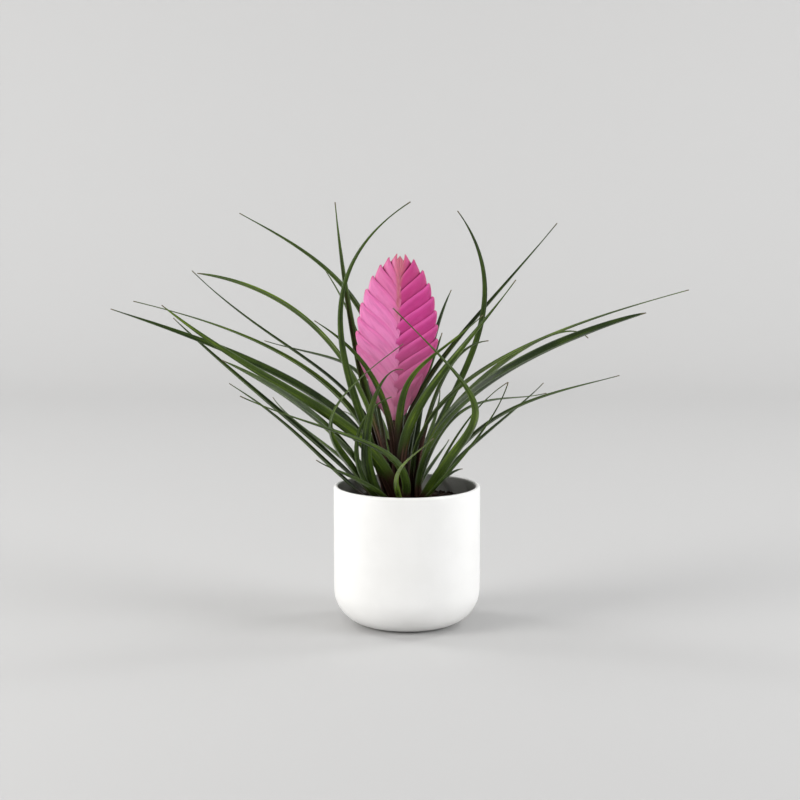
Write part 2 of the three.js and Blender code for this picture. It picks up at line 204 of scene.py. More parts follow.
def make_group(name: str, takes: Values, gives: Sequence[str],
               build: Callable[[Graph, Any], Values]) -> bpy.types.NodeTree:
    """A shader node group with named sockets.

    Args:
        name: the group's name.
        takes: for each input, its default value, or None for a vector.
        gives: the outputs, which are values.
        build: lays the inside, from the graph and the input sockets, and returns the outputs.

    Returns:
        The group's tree.
    """
    tree = bpy.data.node_groups.new(name, "ShaderNodeTree")
    for key, value in takes.items():
        kind = "NodeSocketVector" if value is None else "NodeSocketFloat"
        socket = tree.interface.new_socket(key, in_out="INPUT", socket_type=kind)
        if value is not None:
            socket.default_value = value
    for key in gives:
        tree.interface.new_socket(key, in_out="OUTPUT", socket_type="NodeSocketFloat")
    graph = Graph(tree)
    entry = graph.add("NodeGroupInput")
    graph.add("NodeGroupOutput", build(graph, entry.outputs))
    return tree


class Effects:
    """The node groups that more than one finish uses."""

    def __init__(self) -> None:
        """Builds each group once."""
        blade = {"Across": 0.5, "Along": 0.5, "Seed": 0.0, "Count": 24.0}
        self.veins = make_group("parallel_veins", blade, ("Ridge", "Streak"), self._veins)
        cloudy = {"Vector": None, "Size": 0.01}
        self.mottle = make_group("soft_mottle", cloudy, ("Cloud", "Grain"), self._mottle)

    @staticmethod
    def _veins(graph: Graph, given: Any) -> Values:
        """Ridges that run the length of a blade, and broad streaks of colour along it.

        Args:
            graph: the group's graph.
            given: its inputs.

        Returns:
            Its outputs.
        """
        wave = graph.maths("MULTIPLY", given["Across"], given["Count"])
        wander = graph.noise(graph.join(wave, given["Along"], given["Seed"]), 0.6, 1.0)
        turned = graph.scaled(wave, math.tau, graph.maths("MULTIPLY", wander, 4.0))
        ridge = graph.scaled(graph.maths("SINE", turned), 0.5, 0.5)
        seat = [graph.maths("MULTIPLY", value, factor)
                for value, factor in ((wave, 0.45), (given["Along"], 3.0), (given["Seed"], 37.0))]
        return {"Ridge": ridge, "Streak": graph.noise(graph.join(*seat), 1.0, 3.0, 0.6)}

    @staticmethod
    def _mottle(graph: Graph, given: Any) -> Values:
        """A slow cloud and a fine grain.

        Args:
            graph: the group's graph.
            given: its inputs.

        Returns:
            Its outputs.
        """
        coarse = graph.maths("DIVIDE", 1.0, given["Size"])
        fine = graph.maths("MULTIPLY", coarse, 14.0)
        cloud, grain = graph.noise(given["Vector"], coarse, 3.0), graph.noise(given["Vector"], fine, 4.0)
        return {"Cloud": cloud, "Grain": grain}


@dataclass(frozen=True)
class Finish:
    """What every finish has: a name, and a Principled shader that its own nodes feed."""

    name: str
    gloss: ClassVar[Values] = {}

    def build(self, effects: Effects) -> Material:
        """Makes the material.

        Args:
            effects: the shared node groups.

        Returns:
            The material.
        """
        material = bpy.data.materials.new(self.name)
        material.use_nodes = True
        material.node_tree.nodes.clear()
        graph = Graph(material.node_tree)
        shader = graph.add("ShaderNodeBsdfPrincipled", self.gloss)
        graph.add("ShaderNodeOutputMaterial", {"Surface": shader.outputs[0]})
        graph.feed(shader, self.paint(graph, effects))
        return material

    def paint(self, graph: Graph, effects: Effects) -> Values:
        """Lays the finish's own nodes and gives the socket that feeds each varying input."""
        raise NotImplementedError


@dataclass(frozen=True)
class LeafFinish(Finish):
    """Green blade with fine veins, silver scales and maroon stripes at its sheath."""

    dark: Colour = (0.009, 0.021, 0.002)
    green: Colour = (0.042, 0.075, 0.006)
    lively: Colour = (0.16, 0.25, 0.011)
    silver: Colour = (0.26, 0.30, 0.22)
    maroon: Colour = (0.036, 0.017, 0.012)
    husk: Colour = (0.165, 0.092, 0.066)
    dry: Colour = (0.13, 0.11, 0.06)
    scale_size: float = 0.0005
    gloss: ClassVar[Values] = {"Specular IOR Level": 0.14, "Coat Weight": 0.05, "Coat Roughness": 0.15}

    def paint(self, graph: Graph, effects: Effects) -> Values:
        """Lays the greens with a painted highlight along the margins, then the maroon sheath, the dry tip
        and the relief.

        Args:
            graph: the material's graph.
            effects: the shared node groups.

        Returns:
            Colour, roughness and normal.
        """
        across, along = graph.blade_place()
        tint, sheath, tone, tip = graph.attributes("tint", "sheath", "tone", "tip")
        veins = graph.group(effects.veins, Across=across, Along=along, Seed=tint, Count=13.0)
        where = graph.place()
        scales = graph.step(graph.noise(where, 1 / self.scale_size), 0.42, 0.68)
        mottle = graph.group(effects.mottle, Vector=where, Size=0.02)

        streak = graph.scaled(graph.step(veins["Streak"], 0.3, 0.72), 0.6, -0.3)
        cloud = graph.scaled(graph.step(mottle["Cloud"], 0.3, 0.75), 0.3, -0.15)
        depth = graph.maths("ADD", graph.maths("ADD", tone, streak), cloud)
        green = graph.blend(graph.step(depth, -0.05, 0.55), self.dark, self.green)
        green = graph.blend(graph.step(depth, 0.5, 1.15), green, self.lively)
        # painted highlight: a silver band along both margins, partly the leaf's paler cuticle edge and
        # partly the gloss streaks along its fold
        margin_highlight = graph.step(graph.maths("ABSOLUTE", graph.maths("SUBTRACT", across, 0.5)), 0.42, 0.5)
        for share, most in ((veins["Ridge"], 0.04), (scales, 0.03), (margin_highlight, 0.22)):
            green = graph.blend(share, green, self.silver, most)

        stripe = graph.blend(graph.step(veins["Streak"], 0.5, 0.7), self.maroon, self.husk)
        reach = graph.maths("ADD", sheath, graph.scaled(veins["Streak"], 0.5, -0.25))
        colour = graph.blend(graph.step(reach, 0.12, 0.42), green, stripe)
        height = graph.scaled(scales, 0.35, veins["Ridge"])
        return {
            "Base Color": graph.blend(graph.step(tip, 0.35, 0.95), colour, self.dry),
            "Roughness": graph.scaled(scales, 0.14, 0.26),
            "Normal": graph.bump(height, 0.5, 0.0001),
        }


@dataclass(frozen=True)
class BractFinish(Finish):
    """Stiff pink bract, redder at its tip, with fine lengthwise veins, painted lit on one rank and shaded on
    the other.
    """

    # painted light and shade: the first three pinks belong to the rank that faces the key light, and the
    # next three are the same pinks painted darker as the shade on the other rank
    light: Colour = (0.86, 0.24, 0.53)
    lit_side_lip: Colour = (0.76, 0.16, 0.42)
    lit_side_crevice_shade: Colour = (0.32, 0.03, 0.15)
    shaded_side_pink: Colour = (0.56, 0.035, 0.24)
    shaded_side_lip: Colour = (0.70, 0.10, 0.37)
    shaded_side_crevice_shade: Colour = (0.33, 0.02, 0.13)
    tipped: Colour = (0.45, 0.038, 0.14)
    salmon: Colour = (0.52, 0.12, 0.16)
    olive: Colour = (0.52, 0.17, 0.15)
    foot: Colour = (0.50, 0.20, 0.27)
    gloss: ClassVar[Values] = {
        "Specular IOR Level": 0.4, "Subsurface Weight": 0.2, "Subsurface Scale": 0.0015,
        "Subsurface Radius": (1.0, 0.35, 0.45), "Sheen Weight": 0.06, "Sheen Roughness": 0.4,
    }

    def paint(self, graph: Graph, effects: Effects) -> Values:
        """Lays the rank's pink, painted lit on one rank and shaded on the other, its lip, partly a painted
        highlight, the painted shade in its crevice, the red tip, the young line and the pale foot.

        Args:
            graph: the material's graph.
            effects: the shared node groups.

        Returns:
            Colour, roughness and normal.
        """
        across, along = graph.blade_place()
        tint, rank, young, lip, crevice_shade, tip, base = graph.attributes(
            "tint", "rank", "young", "lip", "crevice_shade", "tip", "base")
        veins = graph.group(effects.veins, Across=across, Along=along, Seed=tint, Count=26.0)
        mottle = graph.group(effects.mottle, Vector=graph.place(), Size=0.008)
        # painted light and shade: the rank value picks the lit pinks for one rank and the shaded pinks for
        # the other
        body, pale, shade = (graph.blend(rank, light, shaded_side_pink) for light, shaded_side_pink in (
            (self.light, self.shaded_side_pink), (self.lit_side_lip, self.shaded_side_lip), (self.lit_side_crevice_shade, self.shaded_side_crevice_shade)))
        fresh = graph.blend(graph.step(veins["Streak"], 0.5, 0.7), self.salmon, self.olive)
        colour = body
        for share, over, most in (
            # the band along the free margin: redder on the lit rank, as the bract's own colour, and paler on
            # the shaded rank, which is a painted highlight
            (lip, pale, 0.8),
            (graph.step(mottle["Cloud"], 0.4, 0.75), pale, 0.25),
            (graph.step(veins["Streak"], 0.4, 0.7), shade, 0.28),
            # painted shade: darkens each bract just above the margin of the bract below, where its crevice
            # falls in shade
            (crevice_shade, shade, 0.9),
            (tip, self.tipped, 0.75),
            (young, fresh, 0.75),
            (base, self.foot, 0.7),
        ):
            colour = graph.blend(share, colour, over, most)
        return {
            "Base Color": colour,
            "Roughness": graph.scaled(mottle["Grain"], 0.15, 0.36),
            "Normal": graph.bump(veins["Ridge"], 0.35, 0.0001),
        }


@dataclass(frozen=True)
class GlazeFinish(Finish):
    """Matte glaze with a soft unevenness and a little pitting."""

    colour: Colour = (0.86, 0.855, 0.84)
    shade: Colour = (0.80, 0.795, 0.775)
    roughness: float = 0.38
    gloss: ClassVar[Values] = {"Specular IOR Level": 0.45, "Coat Weight": 0.12, "Coat Roughness": 0.25}

    def paint(self, graph: Graph, effects: Effects) -> Values:
        """Lays a slow cloud over the glaze, and its pits.

        Args:
            graph: the material's graph.
            effects: the shared node groups.

        Returns:
            Colour, roughness and normal.
        """
        mottle = graph.group(effects.mottle, Vector=graph.place(), Size=0.03)
        cloud = graph.step(mottle["Cloud"], 0.35, 0.7)
        pits = graph.scaled(mottle["Grain"], 0.25, mottle["Cloud"])
        return {
            "Base Color": graph.blend(cloud, self.colour, self.shade, 0.45),
            "Roughness": graph.scaled(cloud, 0.1, self.roughness),
            "Normal": graph.bump(pits, 0.25, 0.0006),
        }


@dataclass(frozen=True)
class BarkFinish(Finish):
    """Moist bark and peat, near black with brown and ash flecks."""

    dark: Colour = (0.012, 0.009, 0.008)
    brown: Colour = (0.065, 0.036, 0.022)
    ash: Colour = (0.12, 0.105, 0.09)
    gloss: ClassVar[Values] = {"Specular IOR Level": 0.3}

    def paint(self, graph: Graph, effects: Effects) -> Values:
        """Lays brown clouds and ash flecks over the dark.

        Args:
            graph: the material's graph.
            effects: the shared node groups.

        Returns:
            Colour, roughness and normal.
        """
        mottle = graph.group(effects.mottle, Vector=graph.place(), Size=0.006)
        tint = graph.attributes("tint")[0]
        colour = graph.blend(graph.step(mottle["Cloud"], 0.35, 0.7), self.dark, self.brown)
        colour = graph.blend(graph.step(tint, 0.7, 1.0), colour, self.ash, 0.5)
        return {
            "Base Color": graph.blend(graph.step(mottle["Grain"], 0.55, 0.75), colour, self.ash, 0.3),
            "Roughness": graph.scaled(mottle["Grain"], 0.3, 0.62),
            "Normal": graph.bump(mottle["Grain"], 0.9, 0.0008),
        }


@dataclass(frozen=True)
class BackdropFinish(Finish):
    """Plain pale paper of the floor and the wall behind."""

    colour: Colour = (0.5, 0.497, 0.492)
    cloudy: Colour = (0.5, 0.5, 0.5)
    gloss: ClassVar[Values] = {"Roughness": 0.9, "Specular IOR Level": 0.15}

    def paint(self, graph: Graph, effects: Effects) -> Values:
        """Lays faint clouds over the paper."""
        cloud = graph.group(effects.mottle, Vector=graph.place(), Size=0.5)["Cloud"]
        return {"Base Color": graph.blend(graph.step(cloud, 0.3, 0.7), self.colour, self.cloudy, 0.03)}


# ---- modelling by hand

def deselect() -> None:
    """Leaves nothing selected and no mesh in edit mode."""
    if bpy.context.object and bpy.context.object.mode != "OBJECT":
        bpy.ops.object.mode_set(mode="OBJECT")
    bpy.ops.object.select_all(action="DESELECT")


def added(operator: Callable[..., Any], name: str, **settings: Any) -> Piece:
    """Adds an object with one of Blender's operators.

    Args:
        operator: the operator.
        name: the new object's name.
        settings: the operator's settings.

    Returns:
        The new object.
    """
    deselect()
    operator(**settings)
    piece = bpy.context.object
    piece.name = piece.data.name = name
    return piece


def take(piece: Piece) -> None:
    """Selects one piece alone and makes it active.

    Args:
        piece: the piece.
    """
    deselect()
    piece.select_set(True)
    bpy.context.view_layer.objects.active = piece


def edit_all() -> None:
    """Opens the active piece's mesh with everything in it selected."""
    bpy.ops.object.mode_set(mode="EDIT")
    bpy.ops.mesh.select_all(action="SELECT")


def face_out(piece: Piece) -> None:
    """Turns every face of a piece outward.

    Args:
        piece: the piece.
    """
    take(piece)
    edit_all()
    bpy.ops.mesh.normals_make_consistent(inside=False)
    bpy.ops.object.mode_set(mode="OBJECT")


def sheet_of(name: str, columns: int, rows: int, surface: Surface) -> Piece:
    """A grid laid on a surface, with its UV map across and along it.

    Args:
        name: the piece's name.
        columns: faces across.
        rows: faces along.
        surface: a point in metres for a place across, from -1 to 1, and along, from 0 to 1.

    Returns:
        The new piece.
    """
    grid = {"x_subdivisions": columns, "y_subdivisions": rows, "size": 2}
    piece = added(bpy.ops.mesh.primitive_grid_add, name, **grid)
    for vertex in piece.data.vertices:
        vertex.co = surface(vertex.co.x, (vertex.co.y + 1) / 2)
    return piece


def note(piece: Piece, name: str, value: Callable[[float, float], float]) -> None:
    """Writes a value for each vertex of a fresh grid, from its place across and along.

    Args:
        piece: a grid that sheet_of made.
        name: the attribute's name.
        value: the value for a place across, from 0 to 1, and along, from 0 to 1.
    """
    mesh = piece.data
    layer = mesh.attributes.new(name, "FLOAT", "POINT")
    uv = mesh.uv_layers["UVMap"].data
    places = {loop.vertex_index: uv[loop.index].uv for loop in mesh.loops}
    for index, place in places.items():
        layer.data[index].value = value(place.x, place.y)


def note_all(piece: Piece, values: Mapping[str, float]) -> None:
    """Writes the same values for every vertex of a piece.

    Args:
        piece: the piece.
        values: for each attribute's name, its value.
    """
    for name, value in values.items():
        layer = piece.data.attributes.new(name, "FLOAT", "POINT")
        layer.data.foreach_set("value", [value] * len(piece.data.vertices))


def thicken(piece: Piece, thickness: float, group: str = "", offset: float = 0.0) -> None:
    """Gives a sheet its thickness, which a vertex group may thin.

    Args:
        piece: the sheet.
        thickness: in metres.
        group: a vertex group whose weight scales the thickness, or nothing.
        offset: where the sheet lies in its thickness, from -1 to 1.
    """
    take(piece)
    wall = piece.modifiers.new("wall", "SOLIDIFY")
    wall.thickness = thickness
    wall.offset = offset
    wall.vertex_group = group
    bpy.ops.object.modifier_apply(modifier=wall.name)


def soften(piece: Piece, degrees: float) -> None:
    """Shades a piece smooth, apart from its edges that are sharper than an angle."""
    take(piece)
    bpy.ops.object.shade_smooth_by_angle(angle=math.radians(degrees))


def join(name: str, pieces: Sequence[Piece]) -> Piece:
    """Joins pieces into one.

    Args:
        name: the joined piece's name.
        pieces: what is joined.

    Returns:
        The joined piece.
    """
    take(pieces[0])
    for piece in pieces:
        piece.select_set(True)
    bpy.ops.object.join()
    whole = bpy.context.object
    whole.name = whole.data.name = name
    return whole


def set_in_place(piece: Piece, slot: str, node: str, smooth_below: float, *finishes: Material) -> None:
    """Shades a modelled piece, lets it ride on the plant and stand for its solid.

    Args:
        piece: the piece.
        slot: the record's material slot; not used.
        node: the solid that it replaces.
        smooth_below: the angle of its sharpest smooth edge, in degrees.
        finishes: its materials.
    """
    for finish in finishes:
        piece.data.materials.append(finish)
    soften(piece, smooth_below)
    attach(piece, ROOT_BODY)
    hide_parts(node)
    LOG.info("%s: %d faces", piece.name, len(piece.data.polygons))


# ---- leaves

@dataclass(frozen=True)
class LeafCourse:
    """One leaf: its width, taper and green, and the course of its midrib from its seat to its tip."""

    name: str
    width: float
    taper: float
    tone: float
    turn: float
    azimuth: float
    rise: tuple[float, float, float]
    bend: tuple[float, float, float]
    tip: tuple[float, float, float]


LEAVES = tuple(LeafCourse(*row) for row in (
    ("left_long", 13, 1.05, 0.2, -45, 184, (-11, -6, 161), (-130, -14, 206), (-214, -15, 235)),
    ("left_arch", 14, 1.6, 0.6, -20, 160, (-21, 30, 178), (-121, 45, 215), (-204, 35, 236)),
    ("left_broad", 15, 0.85, 0.6, -45, 265, (-27, -49, 164), (-89, -53, 169), (-172, -60, 242)),
    ("left_under", 13.5, 0.85, 0.5, -45, 216, (-42, -33, 140), (-72, -61, 173), (-128, -84, 206)),
    ("left_behind", 8, 0.85, 0.25, -20, 170, (-66, 16, 133), (-131, 36, 179), (-176, 50, 222)),
    ("left_low", 7, 1, 0.35, -10, 172, (-60, 10, 110), (-77, 30, 139), (-134, 44, 173)),
    ("left_sweep", 8.5, 1.5, 0.42, 40, 272, (14, -61, 146), (-50, -129, 158), (-112, -135, 188)),
    ("front_left_short", 7, 1.2, 0.4, 20, 253, (-19, -46, 111), (-55, -70, 127), (-63, -90, 137)),
    ("back_left_thin", 6, 1, 0.35, 0, 131, (-50, 52, 121), (-86, 100, 127), (-107, 140, 149)),
    ("left_straight", 5.5, 1, 0.15, -15, 146, (-17, 28, 184), (-86, 62, 180), (-165, 85, 255)),
    ("left_fan", 10, 0.6, 0.6, -30, 199, (-26, -7, 204), (-84, 8, 247), (-152, -6, 260)),
    ("inner_left", 10.5, 0.95, 0.55, 20, 206, (-8, -17, 164), (-24, -38, 201), (-65, -60, 231)),
    ("back_left_grey", 7, 1, 0.1, -20, 130, (-22, 48, 202), (-38, 90, 178), (-112, 120, 197)),
    ("back_left_high", 7.5, 0.95, 0.35, -20, 125, (-9, 26, 233), (-46, 62, 256), (-128, 85, 299)),
    ("back_left_tip", 6, 1, 0.35, 0, 144, (-22, 29, 184), (-42, 58, 230), (-67, 76, 263)),
    ("upright_left", 9, 1.05, 0.45, -45, 134, (-31, 8, 162), (-45, 17, 230), (-53, 28, 310)),
    ("curl_high", 12, 1.3, 0.4, 5, 229, (-43, -34, 182), (-80, -96, 263), (2, -82, 315)),
    ("curl_left", 18, 1.8, 0.42, -75, 202, (-53, -39, 144), (-85, -94, 159), (-3, -108, 220)),
    ("curl_front", 13, 1.3, 0.38, 0, 252, (-45, -31, 101), (-26, -98, 209), (-3, -106, 202)),
    ("curl_low", 8, 1.3, 0.35, 0, 241, (-47, -55, 117), (-42, -66, 167), (-11, -74, 179)),
    ("front_right_tip", 5, 1.1, 0.85, 0, 278, (-17, -68, 125), (0, -125, 142), (17, -152, 162)),
    ("inner_right", 12, 1.1, 0.75, 40, 286, (-9, -28, 202), (0, -44, 183), (53, -60, 235)),
    ("tall_right", 12, 1.05, 0.3, -75, 20, (-12, 9, 130), (103, -6, 217), (36, -22, 306)),
    ("right_small_curl", 8, 0.9, 0.35, 10, 11, (15, 6, 167), (32, -11, 209), (58, -34, 214)),
    ("right_high", 9, 1.2, 0.2, 30, 28, (-19, 12, 160), (30, 30, 195), (113, 55, 293)),
    ("right_broad", 16, 1.4, 0.6, -40, 317, (-18, -25, 152), (29, -42, 192), (77, -40, 258)),
    ("back_spike_tip", 7, 0.75, 0.1, 0, 62, (9, 36, 155), (18, 78, 204), (35, 110, 238)),
    ("back_dark", 7, 0.8, 0.1, 0, 80, (-1, 21, 147), (17, 44, 181), (27, 66, 209)),
    ("hook", 18, 1.75, 0.6, -35, 312, (51, -72, 173), (76, -98, 158), (-10, -104, 244)),
    ("right_long", 10, 1.35, 0.6, 20, 339, (-17, -29, 177), (95, -43, 223), (201, -30, 250)),
    ("right_droop", 14, 1.2, 0.65, 40, 344, (-8, -9, 142), (108, -23, 243), (129, -36, 216)),
    ("right_wide", 14, 0.65, 0.22, 45, 328, (2, -34, 170), (100, -54, 214), (169, -45, 235)),
    ("right_low", 7, 1.1, 0.35, 15, 18, (49, 14, 158), (92, 36, 162), (162, 60, 177)),
    ("right_dark", 5.5, 1, 0.15, 10, 36, (38, 32, 123), (80, 76, 142), (108, 115, 164)),
    ("right_flat", 5.5, 1.1, 0.35, 10, 55, (30, 46, 177), (69, 90, 149), (111, 122, 155)),
    ("front_right_a", 4.5, 1.2, 0.35, 0, 326, (30, -34, 142), (50, -56, 174), (70, -72, 189)),
    ("front_right_b", 4.5, 1.2, 0.35, 0, 296, (43, -62, 136), (62, -98, 169), (68, -118, 195)),
    ("back_right_thin", 6, 1, 0.35, 0, 82, (13, 58, 121), (26, 108, 139), (27, 145, 154)),
    ("low_right_tip", 6, 0.8, 0.35, 0, 45, (23, 22, 102), (38, 30, 110), (42, 36, 109)),
    ("low_right_short", 5, 1.1, 0.35, 0, 69, (18, 42, 111), (29, 72, 118), (33, 94, 122)),
    ("back_a", 9, 1, 0.4, 0, 92, (-2, 55, 136), (-2, 118, 154), (-7, 172, 155)),
    ("back_c", 8, 1, 0.35, 0, 104, (-12, 48, 129), (-22, 108, 148), (-34, 155, 143)),
    ("back_d", 7, 1, 0.35, 0, 118, (-22, 42, 126), (-38, 92, 142), (-50, 125, 140)),
    ("back_high_a", 8, 1, 0.35, 0, 92, (-3, 30, 155), (0, 72, 211), (1, 100, 239)),
    ("back_high_b", 7, 1, 0.35, 0, 106, (-6, 20, 164), (-8, 54, 217), (-10, 80, 251)),
))


@dataclass
class Leaf:
    """One blade: a channel folded on its midrib, from a sheath at the crown to a fine tip."""

    course: LeafCourse
    seat_radius: float
    crown: Vector
    tint: float
    columns: int = 10
    rows: int = 56
    sheath_share: float = 0.3
    sheath_width: float = 0.72
    inner_sheath: float = 96.0
    outer_sheath: float = 26.0
    sheath_seats: tuple[float, float] = (7.0, 15.0)
    fold: float = 38.0
    tip_width: float = 0.9
    taper_onset: float = 1.8
    taper_round: float = 0.85
    curl: float = 1.6
    ripple: float = 0.03
    ripples: float = 9.0
    thickness: float = 1.0
    margin_share: float = 0.45
    tip_share: float = 0.6
    dry_tip: float = 9.0
    samples: int = 400

    def __post_init__(self) -> None:
        """Walks the midrib once and keeps its points, frames and length."""
        outward = heading(self.course.azimuth)
        root = self.crown + outward * self.seat_radius
        stops = [root, *(Vector(p) for p in (self.course.rise, self.course.bend, self.course.tip))]
        self.points = [bezier(stops, i / self.samples) for i in range(self.samples + 1)]
        self.lengths = [0.0]
        for first, second in zip(self.points, self.points[1:]):
            self.lengths.append(self.lengths[-1] + (second - first).length)
        self.faces = []
        before = Vector((0, 0, 1))
        inward = -outward
        for i in range(self.samples + 1):
            along = self._direction(i) if i else before
            inward = before.rotation_difference(along) @ inward
            before = along
            self.faces.append((along.copy(), inward.copy()))

    def _direction(self, i: int) -> Vector:
        """Direction of the midrib at a sample."""
        low, high = max(0, i - 1), min(self.samples, i + 1)
        return (self.points[high] - self.points[low]).normalized()

    def _at(self, share: float) -> tuple[Vector, Vector, Vector]:
        """Place on the midrib.

        Args:
            share: how far along its length, from 0 to 1.

        Returns:
            The place, the midrib's direction there and its inward face.
        """
        want = share * self.lengths[-1]
        high = min(max(1, bisect_right(self.lengths, want)), self.samples)
        low = high - 1
        gap = self.lengths[high] - self.lengths[low]
        part = (want - self.lengths[low]) / gap if gap else 0.0
        centre = self.points[low].lerp(self.points[high], part)
        along = self.faces[low][0].lerp(self.faces[high][0], part).normalized()
        inward = self.faces[low][1].lerp(self.faces[high][1], part).normalized()
        return centre, along, inward

    def _surface(self, side: float, share: float) -> Vector:
        """Point of the blade's middle surface.

        Args:
            side: the place across, from -1 to 1.
            share: the place along, from 0 to 1.

        Returns:
            The point in metres.
        """
        centre, along, inward = self._at(share)
        turned = math.radians(self.course.turn) * math.sin(math.pi / 2 * share)
        face = Quaternion(along, turned) @ inward
        across = along.cross(face)
        grown = min(1.0, share / self.sheath_share)
        onset = self.taper_onset / self.course.taper
        narrowed = (1 - share ** onset) ** (self.taper_round * self.course.taper)
        half = max(self.tip_width, self.course.width * narrowed * lerp(self.sheath_width, 1, grown)) / 2
        fold = lerp(half / (2 * self.seat_radius), math.radians(self.fold), grown)
        ripple = self.ripple * noise.noise(Vector((share * self.ripples, self.tint * 50, side)))
        rise = half * math.sin(fold) * (abs(side) ** self.curl + ripple)
        return (centre + across * (side * half * math.cos(fold)) + face * rise) * MM

    def build(self, finish: Material) -> None:
        """Makes the blade.

        Args:
            finish: the leaf's material.
        """
        piece = sheet_of(f"blade_{self.course.name}", self.columns, self.rows, self._surface)
        length = self.lengths[-1]
        note_all(piece, {"tint": self.tint, "tone": self.course.tone})
        brown = lerp(self.inner_sheath, self.outer_sheath, smooth(*self.sheath_seats, self.seat_radius))
        note(piece, "sheath", lambda x, y: 1 - clamp(y * length / brown))
        note(piece, "tip", lambda x, y: smooth(length - self.dry_tip, length, y * length))
        ribs = piece.vertex_groups.new(name="rib")
        uv = piece.data.uv_layers["UVMap"].data
        for loop in piece.data.loops:
            place = uv[loop.index].uv
            edge = abs(2 * place.x - 1)
            weight = lerp(1.0, self.margin_share, edge) * lerp(1.0, self.tip_share, place.y)
            ribs.add([loop.vertex_index], weight, "REPLACE")
        thicken(piece, self.thickness * MM, ribs.name)
        set_in_place(piece, "leaf", f"leaf_{self.course.name}", 50, finish)


@dataclass
class Rosette:
    """All the leaves, each seated in the crown: the flatter a leaf rises, the further out it stands."""

    crown: Vector
    courses: Sequence[LeafCourse] = LEAVES
    inner_seat: float = 6.6
    seat_pitch: float = 1.9
    seed: int = 11

    def seats(self) -> dict[str, float]:
        """Radius of each leaf's seat.

        Returns:
            For each leaf's name, its seat's distance from the crown's middle.
        """
        rows = []
        for course in self.courses:
            way = (Vector(course.rise) + Vector(course.bend)) / 2 - self.crown
            slope = way.z / math.hypot(way.x, way.y)
            rows.append((slope, course.name, math.radians(course.azimuth), course.width * Leaf.sheath_width))
        rows.sort(key=lambda row: -row[0])
        radii: dict[str, float] = {}
        for i, (_, name, azimuth, width) in enumerate(rows):
            radius = self.inner_seat
            for _, other, angle, breadth in rows[:i]:
                turn = azimuth - angle
                between = abs(math.atan2(math.sin(turn), math.cos(turn)))
                if between < (breadth + width) / 2 / radii[other]:
                    radius = max(radius, radii[other] + self.seat_pitch)
            radii[name] = radius
        return radii

    def build(self, finish: Material) -> None:
        """Makes every leaf.

        Args:
            finish: the leaves' material.
        """
        draw = random.Random(self.seed)
        radii = self.seats()
        for course in self.courses:
            Leaf(course, radii[course.name], self.crown, draw.random()).build(finish)


# ---- flower spike

@dataclass(frozen=True)
class BractRank:
    """One of the spike's two ranks: its side, its bracts' spacing and the course of their margins."""

    side: int
    first_pitch: float
    pitch_reach: float
    low_pitch: float
    drop: float
    drop_spread: float
    rise: tuple[float, float]
    shoulder: tuple[float, float]
    overlap: float


